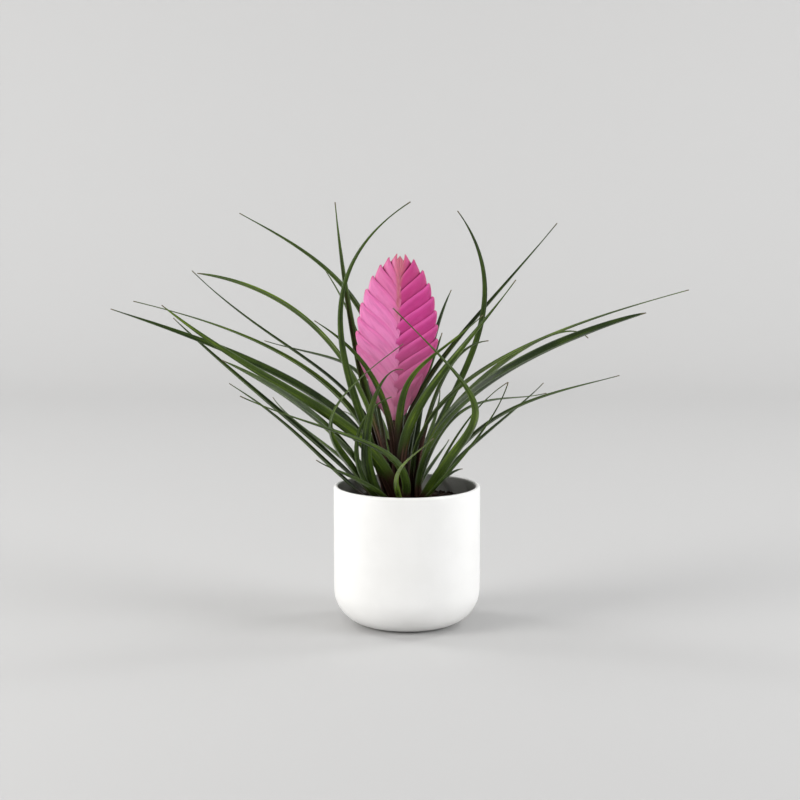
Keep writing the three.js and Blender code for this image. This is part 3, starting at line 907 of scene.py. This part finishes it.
@dataclass
class FlowerSpike:
    """A flat paddle of keeled bracts in two opposite ranks, each folded round the edge."""

    foot: Vector
    top: Vector
    ranks: tuple[BractRank, ...] = (
        BractRank(1, 5.0, 12, 16, 12, 0.3, (0.28, 0.42), (0.82, 0.76), 0.8),
        BractRank(-1, 3.8, 20, 22, 16.5, 0.53, (0.22, 0.64), (0.86, 0.81), 2.4),
    )
    half_width: float = 30.3
    widest: float = 211.0
    half_depth: float = 6.0
    base_curve: float = 1.18
    base_depth_share: float = 0.35
    roof_share: float = 0.4
    lowest_half_width: float = 9.0
    bract_length: float = 52.0
    pitch_top: float = 5.0
    pitch: float = 10.4
    least_gap: float = 4.0
    elbow: float = 0.42
    least_margin: float = 4.0
    least_elbow: float = 3.0
    least_overlap: float = 0.4
    overlap_reach: float = 14.0
    bud_reach: float = 0.2
    bud_dip: float = 2.0
    step: float = 1.5
    bulge: float = 0.75
    roll: float = 0.45
    roll_share: float = 0.16
    edge_fold: float = 0.86
    keel_reach: float = 0.93
    keel_share: float = 0.9
    tip_thickness: float = 2.1
    tip_lift: float = 0.45
    tip_start: float = 0.8
    nose: float = 1.6
    nose_share: float = 0.45
    nose_start: float = 0.78
    lip_share: float = 0.4
    # where the painted crevice shade starts, as a share of the way to the margin of the bract below
    crevice_shade_start: float = 0.72
    foot_fade: float = 75.0
    young_rise: tuple[float, float] = (212.0, 245.0)
    young_top: tuple[float, float] = (248.0, 270.0)
    young_spread: tuple[float, float] = (1.5, 4.0)
    young_edge: tuple[float, float] = (0.35, 1.6)
    red_tip: tuple[float, float] = (0.7, 0.94)
    top_redness: float = 0.55
    thickness: float = 0.4
    columns: int = 32
    rows: int = 26
    crowding: float = 1.6
    seed: int = 5

    def width_at(self, z: float) -> float:
        """Half the spike's width.

        Args:
            z: the height.

        Returns:
            The half width.
        """
        if z >= self.widest:
            share = (z - self.widest) / (self.top.z - self.widest)
            return self.half_width * math.sqrt(max(0.0, 1 - share * share))
        share = clamp((self.widest - z) / (self.widest - self.foot.z))
        return self.half_width * (1 - share ** self.base_curve)

    def axis_at(self, z: float) -> float:
        """Where the spike's middle line is at a height."""
        return lerp(self.foot.x, self.top.x, (z - self.foot.z) / (self.top.z - self.foot.z))

    def depth_at(self, x: float, z: float) -> float:
        """Distance of the spike's surface from its middle plane.

        Args:
            x: the distance from the spike's axis.
            z: the height.

        Returns:
            The distance.
        """
        width = max(self.width_at(z), 1.0)
        round_off = math.sqrt(max(0.0, 1 - (x / width) ** 2))
        roof = max(0.0, 1 - abs(x) / width)
        share = lerp(self.base_depth_share, 1, width / self.half_width)
        return self.half_depth * share * lerp(round_off, roof, self.roof_share)

    def tips(self, rank: BractRank) -> list[tuple[float, float]]:
        """Tips of one rank's bracts, from the bud at the top down.

        Args:
            rank: the rank.

        Returns:
            For each tip, its distance from the axis and its height, in millimetres.
        """
        found = [(self.bud_reach, self.top.z - self.bud_dip)]
        stride, travelled, due, z = 0.1, 0.0, rank.first_pitch, self.top.z
        while z > self.widest or self.width_at(z) > self.lowest_half_width:
            travelled += math.hypot(stride, self.width_at(z - stride) - self.width_at(z))
            if travelled >= due:
                found.append((self.width_at(z), z))
                pitch = lerp(self.pitch_top, self.pitch, min(1.0, travelled / rank.pitch_reach))
                due += pitch if z > self.widest else rank.low_pitch
            z -= stride
        return found

    def _young(self, at: Vector) -> float:
        """How far a place is on the young salmon line up the spike's middle.

        Args:
            at: the place in the spike's plane.

        Returns:
            From 0 off the line to 1 on it.
        """
        spread = lerp(*self.young_spread, smooth(*self.young_top, at.y))
        edge = smooth(*(share * spread for share in self.young_edge), abs(at.x))
        return smooth(*self.young_rise, at.y) * (1 - edge)

    def _bract(self, name: str, rank: BractRank, at_tip: tuple[float, float],
               after: tuple[float, float]) -> Piece:
        """One bract, from its front margin round its keel to its back margin.

        Args:
            name: the bract's name.
            rank: the rank that it is in.
            at_tip: its tip, as tips gives it.
            after: the tip of the next bract down.

        Returns:
            The bract.
        """
        reach, tip = at_tip
        base = max(tip - self.bract_length, self.foot.z)
        middle = max(tip - rank.drop - rank.drop_spread * reach, self.foot.z + self.least_margin)
        bent = max(tip - self.elbow * self.bract_length, base + self.least_elbow)
        tip_gap = max(self.least_gap, tip - after[1])
        middle_gap = max(self.least_gap, tip_gap + rank.drop_spread * (after[0] - reach))
        nose = min(self.nose, self.nose_share * reach)
        margin = (
            Vector((-rank.overlap * clamp(reach / self.overlap_reach, self.least_overlap), middle)),
            Vector((rank.rise[0] * reach, lerp(middle, tip, rank.rise[1]))),
            Vector((rank.shoulder[0] * reach, lerp(middle, tip, rank.shoulder[1]))),
            Vector((reach - nose, tip)),
        )
        keel = (
            Vector((1.0, base)),
            Vector((max(self.width_at(bent), self.keel_share * reach), bent)),
            Vector((reach, tip - self.tip_thickness)),
        )

        def flat(across: float, share: float) -> tuple[Vector, float]:
            """Place in the spike's plane.

            Args:
                across: the place across the bract, from -1 to 1.
                share: the place from its midline to its tip, from 0 to 1.

            Returns:
                The place, and how far it is from the margin to the next bract's.
            """
            along = min(1.0, share / self.nose_start)
            bow = clamp((share - self.nose_start) / (1 - self.nose_start))
            high, low = bezier(margin, along), bezier(keel, lerp(self.keel_reach * along, 1, bow))
            high.x += nose * math.sin(0.5 * math.pi * bow)
            high.y -= self.tip_thickness * (1 - math.cos(0.5 * math.pi * bow))
            at = high.lerp(low, (1 - abs(across)) ** self.crowding)
            return at, (high.y - at.y) / lerp(middle_gap, tip_gap, along)

        def surface(across: float, share: float) -> Vector:
            """Point of the bract.

            Args:
                across: the place across the bract, from -1 to 1.
                share: the place from its midline to its tip, from 0 to 1.

            Returns:
                The point in metres.
            """
            at, sink = flat(across, share)
            lift = self.step * (1 - sink) + self.bulge * math.sin(math.pi * clamp(sink))
            lift -= self.roll * (1 - smooth(0, self.roll_share, sink))
            lift *= lerp(1.0, self.tip_lift, smooth(self.tip_start, 1.0, share))
            depth = max(self.thickness / 2, self.depth_at(at.x, at.y) + lift)
            depth = lerp(depth, 0.0, smooth(self.edge_fold, 1.0, 1 - abs(across)))
            front = -1 if across < 0 else 1
            return Vector((self.axis_at(at.y) + rank.side * at.x, front * depth, at.y)) * MM

        piece = sheet_of(name, self.columns, self.rows, surface)
        redness = self.top_redness * smooth(*self.young_top, tip)
        marks = {
            "young": lambda at, sink, share: self._young(at),
            # the band along the free margin, which the finish paints partly as a highlight
            "lip": lambda at, sink, share: 1 - smooth(0, self.lip_share, sink),
            # painted shade in the crevice above the margin of the bract below
            "crevice_shade": lambda at, sink, share: smooth(self.crevice_shade_start, 1, sink),
            "tip": lambda at, sink, share: smooth(*self.red_tip, share) + redness,
            "base": lambda at, sink, share: 1 - smooth(0, self.foot_fade, at.y - self.foot.z),
        }
        for key, mark in marks.items():
            note(piece, key, lambda x, y, mark=mark: mark(*flat(2 * x - 1, y), y))
        return piece

    def build(self, finish: Material) -> None:
        """Makes the spike.

        Args:
            finish: the bracts' material.
        """
        draw = random.Random(self.seed)
        bracts = []
        for rank in self.ranks:
            tips = self.tips(rank)
            last = (tips[-1][0], tips[-1][1] - rank.low_pitch)
            for tip, after in zip(tips, [*tips[1:], last]):
                bract = self._bract(f"bract_{len(bracts)}", rank, tip, after)
                # rank picks the lit or the shaded copy of the pink, which is painted light and shade
                note_all(bract, {"tint": draw.random(), "rank": (rank.side + 1) / 2})
                thicken(bract, self.thickness * MM)
                bracts.append(bract)
        whole = join("flower_spike", bracts)
        face_out(whole)
        set_in_place(whole, "bract", "spike", 55, finish)


# ---- stem

@dataclass
class Stem:
    """Short stalk from the soil to the spike, wrapped in close brown sheaths."""

    crown: Vector
    top: Vector
    radius: float = 5.0
    top_radius: float = 2.8
    root_depth: float = 12.0
    clearance: float = 0.3
    root_share: float = 0.2
    sheaths: int = 6
    sheaths_height: float = 0.8
    sheath_length: float = 0.42
    sheath_wrap: float = 165.0
    sheath_gap: float = 0.35
    sheath_spread: float = 2.6
    sheath_thickness: float = 0.3
    sheath_stray: float = 25.0
    sheath_taper: float = 2.2
    sheath_tip: float = 4.0
    sheath_grid: tuple[int, int] = (14, 14)
    seed: int = 3

    def _line(self, share: float) -> Vector:
        """Centre of the stalk at a share of its height above the soil."""
        return self.crown.lerp(self.top - Vector((0, 0, self.clearance)), share)

    def build(self, finish: Material) -> None:
        """Makes the stalk with its sheaths.

        Args:
            finish: the stalk's material.
        """
        stalk = added(bpy.ops.mesh.primitive_cylinder_add, "stalk", vertices=32, radius=1, depth=1)
        edit_all()
        bpy.ops.mesh.subdivide(number_cuts=7)
        bpy.ops.object.mode_set(mode="OBJECT")
        foot = self.crown - Vector((0, 0, self.root_depth - self.clearance))
        for vertex in stalk.data.vertices:
            share = clamp(vertex.co.z + 0.5)
            if share < self.root_share:
                centre, radius = foot.lerp(self.crown, share / self.root_share), self.radius
            else:
                part = (share - self.root_share) / (1 - self.root_share)
                centre, radius = self._line(part), lerp(self.radius, self.top_radius, part)
            vertex.co = (centre + Vector((vertex.co.x, vertex.co.y, 0)) * radius) * MM
        draw = random.Random(self.seed)
        parts = [stalk]
        for i in range(self.sheaths):
            low = i / self.sheaths * self.sheaths_height
            turn = 180 * i + draw.uniform(-self.sheath_stray, self.sheath_stray)

            def surface(across: float, along: float, low: float = low, turn: float = turn) -> Vector:
                """Point of a sheath that hugs the stalk and ends in a point.

                Args:
                    across: the place across, from -1 to 1.
                    along: the place along, from 0 to 1.
                    low: where the sheath starts on the stalk.
                    turn: the side that it stands on, in degrees.

                Returns:
                    The point in metres.
                """
                share = low + self.sheath_length * along
                radius = lerp(self.radius, self.top_radius, share) + self.sheath_gap
                radius += self.sheath_spread * along ** 2
                spread = self.sheath_wrap * (1 - along ** self.sheath_taper) + self.sheath_tip
                return (self._line(share) + heading(turn + across * spread) * radius) * MM

            sheath = sheet_of(f"sheath_{i}", *self.sheath_grid, surface)
            thicken(sheath, self.sheath_thickness * MM)
            parts.append(sheath)
        whole = join("stem_with_sheaths", parts)
        note_all(whole, {"tint": 0.4, "sheath": 1.0, "tone": 0.2})
        face_out(whole)
        set_in_place(whole, "stem", "stem", 50, finish)


# ---- pot and soil

@dataclass
class Pot:
    """Round turned pot with a rounded lower edge, a soft rim and a grey inside."""

    radius: float = 54.0
    height: float = 103.4
    wall: float = 3.5
    floor: float = 5.0
    corner: float = 26.5
    foot_rings: tuple[float, ...] = (0, 14, 24)
    outer_rings: tuple[float, ...] = (38, 52, 66, 80, 92)
    inner_rings: tuple[float, ...] = (97, 90, 78, 62, 45)
    sides: int = 128
    corner_steps: int = 20
    round_steps: int = 12
    wall_facing: float = 0.75
    floor_facing: float = 0.3

    @staticmethod
    def _round(radius: float, centre: tuple[float, float], start: float, end: float,
               steps: int) -> list[Vector]:
        """Points of a rounded corner in the plane y = 0.

        Args:
            radius: the corner's radius.
            centre: its centre, as x and z.
            start: the angle of its first point, in degrees.
            end: the angle of its last point, in degrees.
            steps: how many edges it has.

        Returns:
            Its points.
        """
        angles = [math.radians(lerp(start, end, i / steps)) for i in range(steps + 1)]
        middle = Vector((centre[0], 0, centre[1]))
        return [middle + radius * Vector((math.cos(angle), 0, math.sin(angle))) for angle in angles]

    def profile(self) -> list[Vector]:
        """The wall's section, from the middle of the foot over the rim to the middle of the floor.

        Returns:
            Its points in millimetres.
        """
        lip = self.wall / 2
        inner = self.radius - self.wall
        hollow = self.corner - self.wall
        return [
            *(Vector((x, 0, 0)) for x in self.foot_rings),
            *self._round(self.corner, (self.radius - self.corner, self.corner), -90, 0, self.corner_steps),
            *(Vector((self.radius, 0, z)) for z in self.outer_rings),
            *self._round(lip, (self.radius - lip, self.height - lip), 0, 180, self.round_steps),
            *(Vector((inner, 0, z)) for z in self.inner_rings),
            *self._round(hollow, (inner - hollow, self.floor + hollow), 0, -90, self.round_steps),
            Vector((0, 0, self.floor)),
        ]

    def build(self, glaze: Material, inside: Material) -> None:
        """Turns the pot.

        Args:
            glaze: the outside's material.
            inside: the inner wall's material.
        """
        section = self.profile()
        piece = added(bpy.ops.mesh.primitive_plane_add, "turned_pot", size=1)
        edit_all()
        bpy.ops.mesh.merge(type="CENTER")
        for start, end in zip(section, section[1:]):
            bpy.ops.mesh.extrude_region_move(TRANSFORM_OT_translate={"value": (end - start) * MM})
        bpy.ops.mesh.select_all(action="SELECT")
        bpy.ops.mesh.spin(steps=self.sides, angle=math.tau, center=(0, 0, 0), axis=(0, 0, 1))
        bpy.ops.mesh.select_all(action="SELECT")
        bpy.ops.mesh.remove_doubles(threshold=1e-5)
        face_out(piece)
        set_in_place(piece, "pot", "pot", 40, glaze, inside)
        for face in piece.data.polygons:
            centre = face.center / MM
            inward = -Vector((centre.x, centre.y, 0)).normalized().dot(face.normal)
            on_floor = face.normal.z > self.floor_facing and centre.z < self.height / 2
            if on_floor or inward > self.wall_facing:
                face.material_index = 1


@dataclass
class BarkSoil:
    """The bark mix: a close bed with loose chips on it."""

    crown: Vector
    radius: float = 50.2
    top: float = 91.0
    floor: float = 5.3
    corner: float = 22.7
    pit_radius: float = 32.0
    pit_depth: float = 3.0
    pit_slope: tuple[float, float] = (-8.0, 4.0)
    lumps: tuple[tuple[float, float, int], ...] = ((1.3, 0.16, 3), (0.7, 0.45, 7))
    settled: float = 0.6
    calm_edge: float = 6.0
    rings: int = 23
    corner_steps: int = 8
    chips: int = 520
    chip_sizes: tuple[tuple[float, float], ...] = ((2.2, 5.6), (1.4, 3.2), (0.7, 1.8))
    chip_margin: float = 3.2
    chip_middle: float = 0.02
    chip_rise: float = 0.25
    chip_tilt: float = 0.35
    chip_wear: float = 0.13
    seed: int = 23

    def level(self, x: float, y: float) -> float:
        """Height of the bed at a place.

        Args:
            x: the place to the right of the middle.
            y: the place behind the middle.

        Returns:
            The height of its surface.
        """
        out = math.hypot(x, y)
        dip = self.pit_depth * (1 - smooth(*self.pit_slope, out - self.pit_radius))
        lumps = sum(height * noise.noise(Vector((x * scale, y * scale, field)))
                    for height, scale, field in self.lumps)
        return self.top - dip + lumps * smooth(0, self.calm_edge, self.radius - out) - self.settled

    def _bed(self) -> Piece:
        """The bed's solid, with a fine uneven top.

        Returns:
            The bed.
        """
        disc = {"vertices": 72, "radius": self.radius * MM, "fill_type": "NGON"}
        bed = added(bpy.ops.mesh.primitive_circle_add, "bark_bed", **disc)
        edit_all()
        for _ in range(self.rings - 1):
            bpy.ops.mesh.inset(thickness=self.radius * MM / self.rings)
        bpy.ops.object.mode_set(mode="OBJECT")
        for vertex in bed.data.vertices:
            vertex.co.z = self.level(vertex.co.x / MM, vertex.co.y / MM) * MM
        edit_all()
        bpy.ops.mesh.region_to_loop()
        before = (self.radius, self.top)
        for i in range(self.corner_steps + 1):
            angle = math.radians(90 * i / self.corner_steps)
            radius = self.radius - self.corner + self.corner * math.cos(angle)
            height = self.floor + self.corner - self.corner * math.sin(angle)
            share = radius / before[0]
            flatten = 0 if i == 0 else 1
            bpy.ops.mesh.extrude_region_move()
            bpy.ops.transform.resize(value=(share, share, flatten), center_override=(0, 0, height * MM))
            if i:
                bpy.ops.transform.translate(value=(0, 0, (height - before[1]) * MM))
            before = (radius, height)
        bpy.ops.mesh.edge_face_add()
        face_out(bed)
        return bed

    def _chip(self) -> Piece:
        """One flake of bark, which the others are copied from.

        Returns:
            The flake, 1 m across.
        """
        chip = added(bpy.ops.mesh.primitive_cube_add, "chip", size=1)
        edit_all()
        bpy.ops.mesh.bevel(offset=0.2, segments=1)
        bpy.ops.object.mode_set(mode="OBJECT")
        return chip

    def _strew(self, master: Piece, draw: random.Random) -> Piece:
        """Copies the flake, wears it and drops it on the bed.

        Args:
            master: the flake that is copied.
            draw: the soil's random draws.

        Returns:
            The new flake.
        """
        out = math.sqrt(draw.uniform(self.chip_middle, 1.0)) * (self.radius - self.chip_margin)
        angle = draw.uniform(0, math.tau)
        x, y = out * math.cos(angle), out * math.sin(angle)
        size = [draw.uniform(least, most) for least, most in self.chip_sizes]
        flake = master.copy()
        flake.data = master.data.copy()
        bpy.context.collection.objects.link(flake)
        for vertex in flake.data.vertices:
            vertex.co += Vector([draw.uniform(-self.chip_wear, self.chip_wear) for _ in range(3)])
        tilt = [draw.gauss(0, self.chip_tilt) for _ in range(2)]
        turn = Euler((*tilt, draw.uniform(0, math.tau))).to_matrix().to_4x4()
        place = Matrix.Translation(Vector((x, y, self.level(x, y) + self.chip_rise * size[2])) * MM)
        flake.data.transform(place @ turn @ Matrix.Diagonal((*(MM * side for side in size), 1)))
        note_all(flake, {"tint": draw.random()})
        return flake

    def build(self, finish: Material) -> None:
        """Makes the bed and strews the chips.

        Args:
            finish: the bark's material.
        """
        draw = random.Random(self.seed)
        bed = self._bed()
        note_all(bed, {"tint": 0.2})
        master = self._chip()
        flakes = [self._strew(master, draw) for _ in range(self.chips)]
        bpy.data.objects.remove(master)
        whole = join("bark_soil", [bed, *flakes])
        set_in_place(whole, "soil", "soil", 35, finish)


# ---- studio

@dataclass(frozen=True)
class Softbox:
    """One round soft light and the point that it looks at."""

    name: str
    place: tuple[float, float, float]
    aim: tuple[float, float, float]
    size: float
    power: float
    colour: Colour = (1.0, 1.0, 1.0)


@dataclass
class Studio:
    """Pale floor that sweeps up into the wall, soft lights and the camera."""

    camera_place: tuple[float, float, float] = (-0.00511, -1.5, 0.3758)
    camera_dip: float = 7.94
    lens: float = 92.91
    floor_half: float = 3.0
    wall_distance: float = 1.95
    sweep: float = 0.7
    wall_height: float = 3.0
    backdrop_grid: tuple[int, int] = (4, 120)
    air_colour: Colour = (0.9, 0.92, 0.95)
    air_strength: float = 0.24
    lights: tuple[Softbox, ...] = (
        Softbox("left_window", (-1.5, -0.75, 0.75), (0.0, 0.0, 0.17), 1.1, 28.0, (1.0, 0.99, 0.975)),
        Softbox("right_window", (1.5, -0.6, 0.65), (0.0, 0.0, 0.17), 1.1, 22.5, (0.985, 0.99, 1.0)),
        Softbox("front_fill", (0.1, -1.9, 0.8), (0.0, 0.0, 0.17), 1.3, 1.8),
        Softbox("overhead", (-0.3, 0.0, 1.9), (0.0, 0.0, 0.17), 0.9, 7.5),
        Softbox("wall_left", (-1.5, 0.8, 1.65), (-0.4, 1.85, 0.3), 1.0, 20.5),
        Softbox("wall_right", (1.5, 0.8, 1.65), (0.4, 1.85, 0.3), 1.0, 20.5),
    )

    def build(self, paper: Material) -> None:
        """Sets up everything round the plant.

        Args:
            paper: the backdrop's material.
        """
        self._backdrop(paper)
        for light in self.lights:
            self._light(light)
        self._camera()
        world = bpy.data.worlds.new("studio_air")
        world.use_nodes = True
        air = world.node_tree.nodes["Background"]
        air.inputs["Color"].default_value = opaque(self.air_colour)
        air.inputs["Strength"].default_value = self.air_strength
        bpy.context.scene.world = world
        bpy.context.scene.view_settings.view_transform = "Standard"

    def _backdrop(self, paper: Material) -> None:
        """The floor and wall in one sweep.

        Args:
            paper: the backdrop's material.
        """
        bend = self.wall_distance - self.sweep
        flat = bend + self.floor_half
        curve = self.sweep * math.pi / 2

        def surface(across: float, along: float) -> Vector:
            """Point of the sweep.

            Args:
                across: the place across, from -1 to 1.
                along: the place from the front edge up to the wall's top, from 0 to 1.

            Returns:
                The point in metres.
            """
            x = across * self.floor_half
            run = along * (flat + curve + self.wall_height)
            if run < flat:
                return Vector((x, run - self.floor_half, 0))
            if run < flat + curve:
                angle = (run - flat) / self.sweep
                return Vector((x, bend + self.sweep * math.sin(angle), self.sweep * (1 - math.cos(angle))))
            return Vector((x, self.wall_distance, self.sweep + run - flat - curve))

        sweep = sheet_of("backdrop", *self.backdrop_grid, surface)
        sweep.data.materials.append(paper)
        soften(sweep, 60)

    def _light(self, box: Softbox) -> None:
        """One area light, turned to what it lights.

        Args:
            box: the light.
        """
        light = added(bpy.ops.object.light_add, box.name, type="AREA", location=box.place)
        light.data.shape = "DISK"
        light.data.size = box.size
        light.data.energy = box.power
        light.data.color = box.colour
        away = Vector(box.aim) - Vector(box.place)
        light.rotation_euler = away.to_track_quat("-Z", "Y").to_euler()

    def _camera(self) -> None:
        """The camera at the plant's front, a little above it."""
        turned = {"location": self.camera_place, "rotation": (math.radians(90 - self.camera_dip), 0, 0)}
        camera = added(bpy.ops.object.camera_add, "Camera", **turned)
        camera.data.lens = self.lens
        camera.data.sensor_width = 36.0
        camera.data.clip_end = 20.0
        bpy.context.scene.camera = camera


# ---- the plant

def main() -> None:
    """Builds the plant from the pot up and reports each piece."""
    logging.basicConfig(level=logging.INFO, format="%(name)s %(message)s")
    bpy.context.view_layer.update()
    effects = Effects()
    crown = Vector((-4, 0, 88.3))
    spike_foot = Vector((-10, 0, 151))
    spike_top = Vector((-5, 0, 274))
    leaf, bract, glaze, inside, bark, paper = (finish.build(effects) for finish in (
        LeafFinish("leaf_green"),
        BractFinish("bract_pink"),
        GlazeFinish("white_glaze"),
        GlazeFinish("grey_inside", (0.30, 0.30, 0.28), (0.25, 0.25, 0.235), 0.5),
        BarkFinish("moist_bark"),
        BackdropFinish("pale_paper"),
    ))

    Studio().build(paper)
    Pot().build(glaze, inside)
    BarkSoil(crown).build(bark)
    Stem(crown, spike_foot).build(leaf)
    FlowerSpike(spike_foot, spike_top).build(bract)
    Rosette(crown).build(leaf)


if __name__ == "__main__":
    main()
